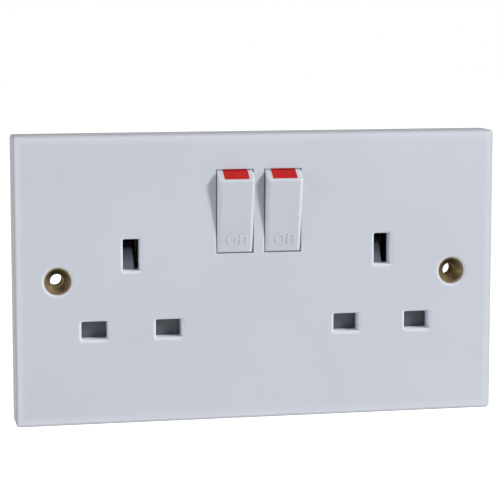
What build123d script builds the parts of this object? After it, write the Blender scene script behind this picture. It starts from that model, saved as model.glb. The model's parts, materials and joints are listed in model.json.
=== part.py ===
from build123d import *
import math
import os

os.makedirs("parts", exist_ok=True)

# Twin switched socket outlet, seen from the front: X to the right, Z up, Y into the wall.
# The wall plane is Y = 0 and every depth is measured back from the front face.

# Front plate
plate_width = 146.0
plate_height = 86.0
plate_depth = 9.5
plate_corner_radius = 1.0
plate_edge_radius = 0.6
front_wall = 2.5
skirt_wall = 2.2
least_corner_radius = 0.5
gusset_count = 5
front = -plate_depth
inner_face = front + front_wall

# Layout across the plate, inwards from its side edges to the fixing screws and the housing
fixing_inset = 12.7
housing_inset = 3.2

# Socket pattern: earth slot above, neutral at the left, line at the right
earth_z = 7.3
pin_drop = 22.23
pin_offset = 11.115
pin_z = earth_z - pin_drop

# Plug pins that the apertures and contacts take
earth_pin_width = 4.0
earth_pin_height = 8.0
earth_pin_reach = 22.7
flat_pin_width = 6.35
flat_pin_height = 3.97

# Apertures in the plate, with a guide tube behind, and the rounding of all mouths in its face
earth_slot_width = 5.3
earth_slot_height = 9.5
flat_slot_width = 8.0
flat_slot_height = 5.5
slot_corner_radius = 0.5
mouth_radius = 0.9
guide_wall = 1.4

# Shutter, a plate behind the guides with a ramp that the earth pin drives down
shutter_depth = 5.7
shutter_thickness = 2.0
shutter_gap = 0.3
shutter_back_gap = 0.4
shutter_margin = 1.1
shutter_side_margin = 1.6
shutter_travel = 6.4
shutter_web = 0.6
shutter_stem_width = 10.0
shutter_stem_height = 5.0
ramp_width = 3.4
ramp_rise = 2.3
ramp_lead = 3.65
ramp_back_foot = 3.5
ramp_top_depth = 12.0
ramp_land = 1.1
rail_wall = 1.2
shutter_front = front + shutter_depth
shutter_back = shutter_front + shutter_thickness
guide_end = shutter_front - shutter_gap

# Rocker switches
rocker_spacing = 14.6
rocker_z = 19.7
rocker_width = 10.9
rocker_face_length = 21.8
rocker_face_height = 7.7
rocker_swing = 21.0
rocker_wall = 1.3
rocker_side_radius = 1.2
rocker_end_edge_radius = 0.4
rocker_mouth = 1.0
rocker_side_gap = 0.3
rocker_end_gap = 0.4
trunnion_radius = 1.5
trunnion_engagement = 1.2
trunnion_clearance = 0.05
trunnion_snap = 0.6
lobe_radius = 2.6
cradle_wall = 1.5
flag_width = 7.5
flag_thickness = 0.6
flag_ridge_margin = 3.6
flag_mouth_margin = 1.2

# Sprung plunger in the rocker's stem
plunger_radius = 1.75
plunger_clearance = 0.05
plunger_reach = 9.5
plunger_length = 8.5
plunger_bore_radius = 1.25
plunger_bore_depth = 5.0
stem_wall = 0.9
stem_reach = 4.5
stem_floor = 0.5
plunger_spring_wire = 0.35
plunger_spring_turns = 8
plunger_spring_clearance = 0.1

# Rocking contact strip on its knife edge
rocking_swing = 12.0
rocking_gap = 0.12
rocking_thickness = 1.0
rocking_width = 5.0
rocking_top = 7.6
rocking_bottom = 6.8
rocking_corner_radius = 1.0
knife_radius = 0.5
knife_gap = 0.05
ear_wall = 0.8
ear_gap = 0.15
ear_height = 3.0
ear_overlap = 1.5
tip_arm = 6.0
tip_radius = 1.5
tip_thickness = 0.8
tip_gap = 0.05
tip_dome_radius = 4.0
fixed_tip_thickness = 0.95

# Rear housing
housing_wall = 1.8
housing_corner_radius = 2.0
housing_back_chamfer = 0.6
housing_foot = 1.1
pin_end_room = 0.5
lug_notch_width = 5.0
lug_notch_height = 13.0
rib_wall = 1.2
pocket_side_room = 1.335
switch_wall_gap_below = 1.15
switch_wall_gap_above = 3.25
bar_seat_offset = 14.3
strap_slot_end_gap = 0.3
strap_slot_side_gap = 0.4

# Conductors, pressed from strip
strip = 0.8
live_lane_width = 3.0
live_lane_gap = 1.7
feed_lane_width = 2.8
neutral_lane_width = 3.4
neutral_lane_gap = 0.4
lane_wall_gap = 0.3
lane_bend_radius = 0.1
column_gap = 1.8
platform_height = 3.4
fulcrum_pad_height = 4.4
fulcrum_pad_margin = 0.25
clip_thickness = 0.7
clip_width = 6.0
clip_pinch = 0.3
clip_mouth = 0.9
clip_mouth_depth = 1.8
clip_throat_depth = 3.4
clip_bow = 0.45
clip_bend_radius = 0.8
clip_side_gap = 0.3
clip_pocket_above = 4.2
clip_pocket_below = 4.9
earth_bar_height = 4.8
earth_bar_drop = 1.5
earth_bar_gap = 0.5
earth_bar_end_gap = 0.8
earth_bar_corner_radius = 1.0
earth_riser_inset = 2.5
earth_riser_width = 4.0
earth_pocket_room = 2.4
earth_pocket_above = 2.2
earth_pocket_below = 0.8
leaf_start_gap = 0.3
leaf_throat_depth = 4.0
leaf_end_gap = 0.8
leaf_bow_radius = 2.0
leaf_overhang = 2.0

# Terminals
terminal_width = 8.0
terminal_height = 7.0
terminal_top = 31.4
terminal_x = 26.0
wire_bore_radius = 2.3
wire_bore_depth = 3.4
terminal_chamfer = 0.5
terminal_screw_radius = 1.75
terminal_screw_clearance = 0.05
terminal_head_radius = 2.8
terminal_head_thickness = 1.4
terminal_seat_wall = 1.2
screw_tip_gap = 0.2
head_clearance = 0.4
slot_width = 0.9
slot_depth = 0.7
wire_entry_gap = 0.3

# Eyelets for the fixing screws to the wall box, and their earth straps
fixing_hole_radius = 4.05
fixing_boss_radius = 5.5
fixing_boss_gap = 1.2
eyelet_sink = 1.2
eyelet_flange_radius = 4.0
eyelet_flange_thickness = 1.3
eyelet_cone_radius = 3.6
eyelet_barrel_radius = 3.0
eyelet_bore_radius = 2.0
eyelet_flare_radius = 3.6
eyelet_flare_thickness = 0.35
eyelet_clearance = 0.05
strap_half_height = 2.4
strap_ring_radius = 5.0
strap_step_inset = 4.9
strap_step_run = 1.2
strap_bend_radius = 0.6
strap_overlap = 5.0

# Screws that hold the housing to the plate, their posts and columns
lower_post_inset = 20.85
upper_post_inset = 2.35
upper_post_z = 19.0
post_lane_gap = 0.97
post_radius = 3.0
column_radius = 3.4
pilot_floor = 0.625
housing_screw_radius = 1.45
housing_screw_clearance = 0.05
housing_screw_length = 17.5
housing_head_radius = 2.5
housing_head_thickness = 1.6
housing_head_sink = 0.3
housing_head_clearance = 0.3
cross_slot_length = 3.5

# Shutter springs
shutter_spring_radius = 1.3
shutter_spring_wire = 0.4
shutter_spring_turns = 8
shutter_spring_room = 1.82
shutter_notch_width = 4.4
shutter_bridge_height = 4.155
spring_seat_thickness = 1.5
spring_end_gap = 0.05


def across(depth):
    """Plane parallel to the front face at a depth along Y, drawn as seen from the front."""
    return Plane.XZ.offset(-depth)


def tilted_section(x, depth, height, tilt):
    """Side section through a pivot: local x runs inwards, local y up along the tilted face."""
    angle = math.radians(tilt)
    return Plane(
        origin=(x, depth, height),
        x_dir=(0, math.cos(angle), math.sin(angle)),
        z_dir=(1, 0, 0),
    )


def tilted_face(x, depth, height, tilt):
    """Plane through a pivot that faces inwards, square to the section of the same tilt."""
    angle = math.radians(tilt)
    return Plane(
        origin=(x, depth, height),
        x_dir=(1, 0, 0),
        z_dir=(0, math.cos(angle), math.sin(angle)),
    )


# Places worked out from the sizes above, across the plate
fixing_pitch = plate_width - 2 * fixing_inset
fixing_places = {"left": -fixing_pitch / 2, "right": fixing_pitch / 2}
housing_width = fixing_pitch - 2 * housing_inset
lug_notch_x = housing_width / 2 - lug_notch_width / 2
notch_inner_x = housing_width / 2 - lug_notch_width
pocket_reach = clip_width / 2 + clip_side_gap + rib_wall
gang_x = housing_width / 2 - housing_wall - pocket_side_room - pocket_reach - pin_offset
gang_places = {"left": -gang_x, "right": gang_x}
clip_places = {
    f"{pin}_{side}": x + sign * pin_offset
    for side, x in gang_places.items()
    for pin, sign in {"neutral": -1, "live": 1}.items()
}
earth_bar_half_length = notch_inner_x - housing_wall - earth_bar_end_gap
earth_riser_x = earth_bar_half_length - earth_riser_inset
fulcrum_pad_width = rocker_spacing + rocking_width + 2 * (ear_gap + ear_wall + fulcrum_pad_margin)
column_x = fulcrum_pad_width / 2 + column_gap + live_lane_width / 2
terminal_places = {"live": terminal_x, "neutral": -terminal_x, "earth": earth_riser_x}

# Places up the plate
earth_bar_top = earth_z - earth_pin_height / 2 - earth_bar_drop
live_lane_z = pin_z + clip_pocket_above + live_lane_gap + live_lane_width / 2
neutral_lane_z = pin_z - clip_pocket_below - neutral_lane_gap - neutral_lane_width / 2
lower_post_z = neutral_lane_z - neutral_lane_width / 2 - post_lane_gap - column_radius
housing_bottom = lower_post_z - column_radius - housing_foot
housing_top = terminal_top + housing_wall + wire_entry_gap
terminal_z = terminal_top - terminal_height / 2
post_places = [
    (sign * x, z)
    for x, z in ((gang_x - lower_post_inset, lower_post_z), (gang_x - upper_post_inset, upper_post_z))
    for sign in (-1, 1)
]
shutter_half_width = pin_offset + flat_slot_width / 2 + shutter_side_margin
shutter_bottom = pin_z - flat_slot_height / 2 - shutter_margin
window_height = flat_pin_height + 2 * shutter_web
window_z = pin_z + shutter_travel
shutter_top = window_z + window_height / 2 + shutter_margin
shutter_notch_top = shutter_top - shutter_bridge_height
shutter_spring_seat_z = shutter_bottom - shutter_travel - shutter_spring_room
ramp_top_z = earth_z + ramp_rise
ramp_foot_z = ramp_top_z - shutter_travel - ramp_lead

# Depths behind the front face
rim = shutter_back + shutter_back_gap
housing_depth = earth_pin_reach + pin_end_room + housing_wall
housing_back = front + housing_depth
floor = housing_back - housing_wall
strip_front = floor - strip
ramp_top_y = front + ramp_top_depth
ramp_back_y = ramp_top_y + ramp_land
earth_bar_y = ramp_back_y + earth_bar_gap
terminal_front = earth_bar_y + strip
wire_bore_y = terminal_front + wire_bore_depth
screw_tip_y = wire_bore_y + wire_bore_radius + screw_tip_gap
spring_y = shutter_front + shutter_thickness / 2
boss_end = -fixing_boss_gap

# Places of the rockers, the rocking contacts and their tips
half_swing = rocker_swing / 2
rocker_reach = rocker_face_length / 2
pivot_y = (
    front
    + rocker_face_height * math.cos(math.radians(half_swing))
    - rocker_reach * math.sin(math.radians(half_swing))
)
rocker_end_radius = math.hypot(rocker_reach, rocker_face_height)
ridge_angle = math.degrees(math.atan2(rocker_face_height, rocker_reach))
mouth_angle = math.degrees(math.asin(rocker_mouth / rocker_end_radius))
chamber_radius = rocker_end_radius + rocker_end_gap
chamber_half_width = rocker_width / 2 + rocker_side_gap
rocker_places = {"left": -rocker_spacing / 2, "right": rocker_spacing / 2}
knife_y = pivot_y + plunger_reach + rocking_gap + rocking_thickness
rocking_tilt = -rocking_swing / 2
tip_angle = math.radians(rocking_swing / 2)
tip_y = knife_y + tip_arm * math.sin(tip_angle) + tip_thickness * math.cos(tip_angle)
tip_z = rocker_z + tip_arm * math.cos(tip_angle) - tip_thickness * math.sin(tip_angle)
platform_y = tip_y + tip_gap + fixed_tip_thickness

# Front plate: a hollow moulding with guides, rails, bosses and the cradle of the rockers
with BuildPart() as front_plate:
    with BuildSketch(across(0)):
        RectangleRounded(plate_width, plate_height, plate_corner_radius)
    extrude(amount=plate_depth)
    fillet(front_plate.faces().sort_by(Axis.Y)[0].edges(), plate_edge_radius)
    with BuildSketch(across(0)):
        RectangleRounded(
            plate_width - 2 * skirt_wall,
            plate_height - 2 * skirt_wall,
            max(plate_corner_radius - skirt_wall, least_corner_radius),
        )
    extrude(amount=plate_depth - front_wall, mode=Mode.SUBTRACT)

    # Guide tubes behind the three apertures of each gang
    with BuildSketch(across(inner_face)):
        with Locations(*[(x, earth_z) for x in gang_places.values()]):
            Rectangle(earth_slot_width + 2 * guide_wall, earth_slot_height + 2 * guide_wall)
        with Locations(*[(x, pin_z) for x in clip_places.values()]):
            Rectangle(flat_slot_width + 2 * guide_wall, flat_slot_height + 2 * guide_wall)
    extrude(amount=inner_face - guide_end)

    # Rails, stops and spring seats of the shutters
    with BuildSketch(across(inner_face)):
        for x in gang_places.values():
            rail_x = shutter_half_width + shutter_gap + rail_wall / 2
            rail_height = shutter_top - shutter_spring_seat_z
            with Locations(
                (x - rail_x, shutter_spring_seat_z + rail_height / 2),
                (x + rail_x, shutter_spring_seat_z + rail_height / 2),
            ):
                Rectangle(rail_wall, rail_height)
            with Locations(
                (x - pin_offset, shutter_top + shutter_gap + rail_wall / 2),
                (x + pin_offset, shutter_top + shutter_gap + rail_wall / 2),
            ):
                Rectangle(flat_slot_width, rail_wall)
    extrude(amount=inner_face - shutter_back)
    with BuildSketch(across(inner_face)):
        with Locations(
            *[(x, shutter_spring_seat_z - spring_seat_thickness / 2) for x in gang_places.values()]
        ):
            Rectangle(2 * shutter_notch_width, spring_seat_thickness)
    extrude(amount=inner_face - rim)

    # Posts for the housing screws and bosses for the eyelets
    with BuildSketch(across(inner_face)):
        with Locations(*post_places):
            Circle(post_radius)
    extrude(amount=inner_face - rim)
    with BuildSketch(across(inner_face)):
        with Locations(*[(x, 0) for x in fixing_places.values()]):
            Circle(fixing_boss_radius)
    extrude(amount=inner_face - boss_end)

    # Stiffening ribs from the skirt to the bosses and along the top and bottom
    rib_reach = plate_width / 2 - skirt_wall - fixing_pitch / 2
    with BuildSketch(across(inner_face)):
        for sign in (-1, 1):
            with Locations((sign * (fixing_pitch / 2 + rib_reach / 2), 0)):
                Rectangle(rib_reach, rib_wall)
    extrude(amount=inner_face - boss_end)
    gusset_height = plate_height / 2 - skirt_wall - housing_top
    with BuildSketch(across(inner_face)):
        for sign in (-1, 1):
            with Locations((0, sign * (plate_height / 2 - skirt_wall - gusset_height / 2))):
                with GridLocations(plate_width / (gusset_count + 1), 1, gusset_count, 1):
                    Rectangle(rib_wall, gusset_height)
    extrude(amount=inner_face - rim)

    # Cradle of the two rockers
    cradle_width = rocker_spacing + 2 * chamber_half_width + 2 * cradle_wall
    cradle_height = 2 * (chamber_radius + cradle_wall)
    with BuildSketch(across(inner_face)):
        with Locations((0, rocker_z)):
            Rectangle(cradle_width, cradle_height)
    extrude(amount=inner_face - rim)

    # Apertures for the pins and recesses for the eyelets, their mouths rounded
    with BuildSketch(across(guide_end)):
        with Locations(*[(x, earth_z) for x in gang_places.values()]):
            RectangleRounded(earth_slot_width, earth_slot_height, slot_corner_radius)
        with Locations(*[(x, pin_z) for x in clip_places.values()]):
            RectangleRounded(flat_slot_width, flat_slot_height, slot_corner_radius)
    extrude(amount=guide_end - front, mode=Mode.SUBTRACT)
    with BuildSketch(across(front)):
        with Locations(*[(x, 0) for x in fixing_places.values()]):
            Circle(fixing_hole_radius)
    extrude(amount=-(eyelet_sink + eyelet_flange_thickness), mode=Mode.SUBTRACT)
    mouths = front_plate.faces().sort_by(Axis.Y)[0].inner_wires()
    fillet(mouths.edges(), mouth_radius)

    # Holes and pilot holes of the screws
    with BuildSketch(across(front)):
        with Locations(*[(x, 0) for x in fixing_places.values()]):
            Circle(eyelet_barrel_radius + eyelet_clearance)
    extrude(amount=-plate_depth, mode=Mode.SUBTRACT)
    with BuildSketch(across(rim)):
        with Locations(*post_places):
            Circle(housing_screw_radius + housing_screw_clearance)
    extrude(amount=rim - inner_face - pilot_floor, mode=Mode.SUBTRACT)

    # Chambers bored about the rocker pivots, and their snap-in bearings
    for x in rocker_places.values():
        with BuildSketch(Plane.YZ.offset(x)):
            with Locations((pivot_y, rocker_z)):
                Circle(chamber_radius)
        extrude(amount=chamber_half_width, both=True, mode=Mode.SUBTRACT)
    bearing_half_span = rocker_spacing / 2 + chamber_half_width + trunnion_engagement + rocker_side_gap
    bearing_radius = trunnion_radius + trunnion_clearance
    with BuildSketch(Plane.YZ):
        with Locations((pivot_y, rocker_z)):
            Circle(bearing_radius)
        with Locations(((pivot_y + rim) / 2, rocker_z)):
            Rectangle(rim - pivot_y, 2 * bearing_radius - trunnion_snap)
    extrude(amount=bearing_half_span, both=True, mode=Mode.SUBTRACT)
front_plate.part.label = "front_plate"
export_step(front_plate.part, "parts/front_plate.step")

# Rear housing: a deep tray with pockets for the contacts
housing_height = housing_top - housing_bottom
housing_mid_z = (housing_top + housing_bottom) / 2
with BuildPart() as rear_housing:
    with BuildSketch(across(rim)) as housing_outline:
        with Locations((0, housing_mid_z)):
            RectangleRounded(housing_width, housing_height, housing_corner_radius)
        with Locations((-lug_notch_x, 0), (lug_notch_x, 0)):
            Rectangle(lug_notch_width, lug_notch_height, mode=Mode.SUBTRACT)
    extrude(amount=-(housing_back - rim))
    back_face = rear_housing.faces().sort_by(Axis.Y)[-1]
    chamfer(back_face.edges(), housing_back_chamfer)
    with BuildSketch(across(rim)):
        add(housing_outline.sketch)
        offset(amount=-housing_wall, mode=Mode.REPLACE)
    extrude(amount=-(floor - rim), mode=Mode.SUBTRACT)

    # Pocket walls beside the line and neutral contacts
    with BuildSketch(across(rim)):
        pocket_x = clip_width / 2 + clip_side_gap + rib_wall / 2
        pocket_z = pin_z + (clip_pocket_above - clip_pocket_below) / 2
        for x in clip_places.values():
            with Locations((x - pocket_x, pocket_z), (x + pocket_x, pocket_z)):
                Rectangle(rib_wall, clip_pocket_above + clip_pocket_below)
        # Pocket walls beside the earth contacts
        earth_pocket_x = earth_pin_width / 2 + earth_pocket_room + rib_wall / 2
        earth_pocket_z = earth_z + (earth_pocket_above - earth_pocket_below) / 2
        for x in gang_places.values():
            with Locations((x - earth_pocket_x, earth_pocket_z), (x + earth_pocket_x, earth_pocket_z)):
                Rectangle(rib_wall, earth_pin_height + earth_pocket_above + earth_pocket_below)
        # Wall between the two switches
        switch_wall_start = earth_bar_top + switch_wall_gap_below
        switch_wall_stop = rocker_z - switch_wall_gap_above
        with Locations((0, (switch_wall_start + switch_wall_stop) / 2)):
            Rectangle(rib_wall, switch_wall_stop - switch_wall_start)
    extrude(amount=-(floor - rim))

    # Seats that carry the earth bar
    with BuildSketch(across(earth_bar_y + strip)):
        for sign in (-1, 1):
            for x in (gang_x - bar_seat_offset, gang_x + earth_pocket_x):
                with Locations((sign * x, earth_bar_top - earth_bar_height / 2)):
                    Rectangle(rib_wall, earth_bar_height)
    extrude(amount=-(floor - earth_bar_y - strip))
    with BuildSketch(across(strip_front)):
        with Locations((earth_riser_x, terminal_z)):
            Circle(terminal_head_radius + terminal_seat_wall)
    extrude(amount=-strip)

    # Columns round the housing screws
    with BuildSketch(across(rim)):
        with Locations(*post_places):
            Circle(column_radius)
    extrude(amount=-(housing_back - rim))
    with BuildSketch(across(rim)):
        with Locations(*post_places):
            Circle(housing_screw_radius + housing_head_clearance)
    extrude(amount=-(housing_back - rim), mode=Mode.SUBTRACT)
    with BuildSketch(across(housing_back)):
        with Locations(*post_places):
            Circle(housing_head_radius + housing_head_clearance)
    extrude(amount=housing_head_thickness + housing_head_sink, mode=Mode.SUBTRACT)

    # Access to the terminal screws, and wire entries through the top wall
    with BuildSketch(across(housing_back)):
        with Locations(*[(x, terminal_z) for x in terminal_places.values()]):
            Circle(terminal_head_radius + head_clearance)
    extrude(amount=housing_back - strip_front, mode=Mode.SUBTRACT)
    with BuildSketch(across(rim)):
        with Locations(*[(x, housing_top) for x in terminal_places.values()]):
            Rectangle(terminal_width + 2 * wire_entry_gap, 2 * housing_wall + wire_entry_gap)
    extrude(amount=-(strip_front - rim - wire_entry_gap), mode=Mode.SUBTRACT)

    # Slots in the side walls for the earth straps
    with BuildSketch(across(rim)):
        with Locations((-notch_inner_x, 0), (notch_inner_x, 0)):
            Rectangle(
                2 * (housing_wall + strap_slot_end_gap),
                2 * (strap_half_height + strap_slot_side_gap),
            )
    extrude(amount=-(earth_bar_y + wire_entry_gap - rim), mode=Mode.SUBTRACT)
rear_housing.part.label = "rear_housing"
export_step(rear_housing.part, "parts/rear_housing.step")

# Brass eyelets: countersunk for the fixing screw and flared over the earth strap
eyelet_front = front + eyelet_sink
eyelet_cone_depth = eyelet_cone_radius - eyelet_bore_radius
for side, x in fixing_places.items():
    with BuildPart() as fixing_eyelet:
        with BuildSketch(Plane.XY):
            with BuildLine():
                Polyline(
                    (x + eyelet_cone_radius, eyelet_front),
                    (x + eyelet_flange_radius, eyelet_front),
                    (x + eyelet_flange_radius, eyelet_front + eyelet_flange_thickness),
                    (x + eyelet_barrel_radius, eyelet_front + eyelet_flange_thickness),
                    (x + eyelet_barrel_radius, -eyelet_flare_thickness),
                    (x + eyelet_flare_radius, -eyelet_flare_thickness),
                    (x + eyelet_flare_radius, 0),
                    (x + eyelet_bore_radius, 0),
                    (x + eyelet_bore_radius, eyelet_front + eyelet_cone_depth),
                    close=True,
                )
            make_face()
        revolve(axis=Axis((x, 0, 0), (0, 1, 0)))
    fixing_eyelet.part.label = f"fixing_eyelet_{side}"
    export_step(fixing_eyelet.part, f"parts/fixing_eyelet_{side}.step")


def rocker_outline(face_height, end_radius, mouth):
    """Closed side section of a rocker: a flat face and two ends turned about the pivot."""
    reach = math.sqrt(end_radius**2 - face_height**2)
    mouth_reach = math.sqrt(end_radius**2 - mouth**2)
    middle = (math.atan2(face_height, reach) + math.asin(mouth / end_radius)) / 2
    arc_depth = -end_radius * math.sin(middle)
    arc_reach = end_radius * math.cos(middle)
    with BuildLine() as outline:
        Line((-face_height, -reach), (-face_height, reach))
        ThreePointArc((-face_height, reach), (arc_depth, arc_reach), (-mouth, mouth_reach))
        Line((-mouth, mouth_reach), (-mouth, -mouth_reach))
        ThreePointArc((-mouth, -mouth_reach), (arc_depth, -arc_reach), (-face_height, -reach))
    return outline.edges()


def flag_outline():
    """Side section of the coloured slip let into the top end of a rocker."""
    start = math.radians(mouth_angle + flag_mouth_margin)
    stop = math.radians(ridge_angle - flag_ridge_margin)
    middle = (start + stop) / 2
    inner = rocker_end_radius - flag_thickness
    outer = rocker_end_radius

    def on_circle(radius, angle):
        return (-radius * math.sin(angle), radius * math.cos(angle))

    with BuildLine() as outline:
        ThreePointArc(on_circle(outer, start), on_circle(outer, middle), on_circle(outer, stop))
        Line(on_circle(outer, stop), on_circle(inner, stop))
        ThreePointArc(on_circle(inner, stop), on_circle(inner, middle), on_circle(inner, start))
        Line(on_circle(inner, start), on_circle(outer, start))
    return outline.edges()


# Rockers, shown switched on with the lower edge pressed flush
stem_radius = plunger_radius + plunger_clearance + stem_wall
inner_face_height = rocker_face_height - rocker_wall
for side, x in rocker_places.items():
    section = tilted_section(x, pivot_y, rocker_z, half_swing)
    facing = tilted_face(x, pivot_y, rocker_z, half_swing)
    inwards = Axis(section.origin, section.x_dir)
    upwards = Axis(section.origin, section.y_dir)
    with BuildPart() as rocker:
        with BuildSketch(section):
            make_face(rocker_outline(rocker_face_height, rocker_end_radius, rocker_mouth))
        extrude(amount=rocker_width / 2, both=True)
        face_edges = rocker.faces().sort_by(inwards)[0].edges()
        fillet(face_edges.filter_by(Axis.X, reverse=True), rocker_side_radius)
        mouth_edges = rocker.faces().sort_by(inwards)[-1].edges()
        ends = rocker.faces().sort_by(upwards)
        end_edges = ends[0].edges() + ends[-1].edges()
        fillet(end_edges.filter_by(lambda edge: edge not in mouth_edges), rocker_end_edge_radius)
        with BuildSketch(section):
            make_face(rocker_outline(inner_face_height, rocker_end_radius - rocker_wall, 0))
        extrude(amount=rocker_width / 2 - rocker_wall, both=True, mode=Mode.SUBTRACT)

        # Stem with its ribs, bored for the plunger
        with BuildSketch(facing.offset(-inner_face_height)):
            Circle(stem_radius)
        extrude(amount=inner_face_height + stem_reach)
        with BuildSketch(facing.offset(-inner_face_height)):
            Rectangle(rocker_width - 2 * rocker_wall, rocker_wall)
            Rectangle(rocker_wall, 2 * (rocker_reach - rocker_wall))
        extrude(amount=inner_face_height - trunnion_radius)
        with BuildSketch(facing.offset(stem_reach)):
            Circle(plunger_radius + plunger_clearance)
        extrude(amount=-(stem_reach + inner_face_height - stem_floor), mode=Mode.SUBTRACT)

        # Side lobes and trunnions
        for sign in (-1, 1):
            with BuildSketch(section.offset(sign * rocker_width / 2)):
                Circle(lobe_radius)
            extrude(amount=-sign * rocker_wall)
            with BuildSketch(section.offset(sign * rocker_width / 2)):
                Circle(trunnion_radius)
            extrude(amount=sign * (rocker_side_gap + trunnion_engagement))

        # Recess for the coloured slip
        with BuildSketch(section):
            make_face(flag_outline())
        extrude(amount=flag_width / 2, both=True, mode=Mode.SUBTRACT)
    rocker.part.label = f"rocker_{side}"
    export_step(rocker.part, f"parts/rocker_{side}.step")

    with BuildPart() as on_flag:
        with BuildSketch(section):
            make_face(flag_outline())
        extrude(amount=flag_width / 2, both=True)
    on_flag.part.label = f"on_flag_{side}"
    export_step(on_flag.part, f"parts/on_flag_{side}.step")

    # Plunger with a round nose, bored for its spring
    plunger_top = plunger_reach - plunger_length
    nose_centre = plunger_reach - plunger_radius
    nose_mid = plunger_radius * math.sqrt(0.5)
    plunger_bore_end = plunger_top + plunger_bore_depth
    with BuildPart() as plunger:
        with BuildSketch(section):
            with BuildLine():
                Polyline(
                    (plunger_bore_end, 0),
                    (plunger_bore_end, plunger_bore_radius),
                    (plunger_top, plunger_bore_radius),
                    (plunger_top, plunger_radius),
                    (nose_centre, plunger_radius),
                )
                ThreePointArc(
                    (nose_centre, plunger_radius),
                    (nose_centre + nose_mid, nose_mid),
                    (plunger_reach, 0),
                )
                Line((plunger_reach, 0), (plunger_bore_end, 0))
            make_face()
        revolve(axis=Axis(section.origin, section.x_dir))
    plunger.part.label = f"plunger_{side}"
    export_step(plunger.part, f"parts/plunger_{side}.step")

    # Spring between the stem's floor and the plunger's bore
    spring_start = -(inner_face_height - stem_floor) + plunger_spring_wire / 2 + spring_end_gap
    spring_stop = plunger_bore_end - plunger_spring_wire / 2 - spring_end_gap
    spring_height = spring_stop - spring_start
    spring_axis = facing.offset(spring_start)
    with BuildPart() as plunger_spring:
        with BuildLine() as coil:
            Helix(
                pitch=spring_height / plunger_spring_turns,
                height=spring_height,
                radius=plunger_bore_radius - plunger_spring_clearance - plunger_spring_wire / 2,
                center=spring_axis.origin,
                direction=spring_axis.z_dir,
            )
        with BuildSketch(Plane(origin=coil.line @ 0, z_dir=coil.line % 0)):
            Rectangle(plunger_spring_wire, plunger_spring_wire)
        sweep(is_frenet=True)
    plunger_spring.part.label = f"plunger_spring_{side}"
    export_step(plunger_spring.part, f"parts/plunger_spring_{side}.step")

    # Contact strip that rocks on the knife edge, with its tip
    rocking_face = tilted_face(x, knife_y, rocker_z, rocking_tilt)
    rocking_mid = (rocking_bottom - rocking_top) / 2
    with BuildPart() as moving_contact:
        with BuildSketch(rocking_face):
            with Locations((0, rocking_mid)):
                RectangleRounded(
                    rocking_width,
                    rocking_top + rocking_bottom,
                    rocking_corner_radius,
                )
        extrude(amount=-rocking_thickness)
    moving_contact.part.label = f"moving_contact_{side}"
    export_step(moving_contact.part, f"parts/moving_contact_{side}.step")

    with BuildPart() as moving_tip:
        with BuildSketch(rocking_face):
            with Locations((0, -tip_arm)):
                Circle(tip_radius)
        extrude(amount=tip_thickness)
    moving_tip.part.label = f"moving_tip_{side}"
    export_step(moving_tip.part, f"parts/moving_tip_{side}.step")

    # Domed tip on the platform of the live contact
    dome_sag = tip_dome_radius - math.sqrt(tip_dome_radius**2 - tip_radius**2)
    tip_front = platform_y - fixed_tip_thickness
    with BuildPart() as fixed_tip:
        with BuildSketch(Plane.XY.offset(tip_z)):
            with BuildLine():
                Polyline(
                    (x, tip_front),
                    (x, platform_y),
                    (x + tip_radius, platform_y),
                    (x + tip_radius, tip_front + dome_sag),
                )
                RadiusArc((x + tip_radius, tip_front + dome_sag), (x, tip_front), tip_dome_radius)
            make_face()
        revolve(axis=Axis((x, 0, tip_z), (0, 1, 0)))
    fixed_tip.part.label = f"fixed_tip_{side}"
    export_step(fixed_tip.part, f"parts/fixed_tip_{side}.step")


def clip_path(seat):
    """Middle line of a sprung clip that grips a flat pin, open to the front, seated at a depth."""
    mouth = rim + clip_mouth_depth
    throat = flat_pin_height / 2 - clip_pinch / 2 + clip_thickness / 2
    heel = flat_pin_height / 2 + clip_thickness / 2 + clip_bow
    base = seat - clip_thickness / 2
    with BuildLine() as leaf:
        FilletPolyline(
            (mouth, pin_z + throat + clip_mouth),
            (mouth + clip_throat_depth, pin_z + throat),
            (base, pin_z + heel),
            (base, pin_z - heel),
            (mouth + clip_throat_depth, pin_z - throat),
            (mouth, pin_z - throat - clip_mouth),
            radius=clip_bend_radius,
        )
    return leaf.edges()


# Neutral contacts, riveted on the neutral bar
for side in gang_places:
    with BuildPart() as neutral_contact:
        with BuildSketch(Plane.YZ.offset(clip_places[f"neutral_{side}"])):
            trace(clip_path(strip_front), line_width=clip_thickness)
        extrude(amount=clip_width / 2, both=True)
    neutral_contact.part.label = f"neutral_contact_{side}"
    export_step(neutral_contact.part, f"parts/neutral_contact_{side}.step")

# Live contacts: the clip and its strip up to the switch are one pressing
for side, x in rocker_places.items():
    sign = 1 if side == "right" else -1
    clip_x = clip_places[f"live_{side}"]
    lane_x = clip_x - live_lane_width / 2
    platform_x = x - sign * rocking_width / 2
    platform_top = tip_z + platform_height / 2
    with BuildPart() as live_contact:
        with BuildSketch(Plane.YZ.offset(clip_x)):
            trace(clip_path(floor), line_width=clip_thickness)
        extrude(amount=clip_width / 2, both=True)
        with BuildSketch(across(floor)):
            with BuildLine() as lane:
                FilletPolyline(
                    (lane_x, pin_z),
                    (lane_x, live_lane_z),
                    (sign * column_x, live_lane_z),
                    (sign * column_x, platform_top),
                    radius=live_lane_width / 2 + lane_bend_radius,
                )
            trace(lane.line, line_width=live_lane_width)
        extrude(amount=strip)
        with BuildSketch(Plane.XY.offset(platform_top)):
            with BuildLine() as step:
                Polyline(
                    (platform_x, platform_y + strip / 2),
                    (sign * (column_x - live_lane_width / 2), platform_y + strip / 2),
                    (sign * (column_x - live_lane_width / 2), floor - strip / 2),
                    (sign * column_x, floor - strip / 2),
                )
            trace(step.line, line_width=strip)
        extrude(amount=-platform_height)
    live_contact.part.label = f"live_contact_{side}"
    export_step(live_contact.part, f"parts/live_contact_{side}.step")

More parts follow.
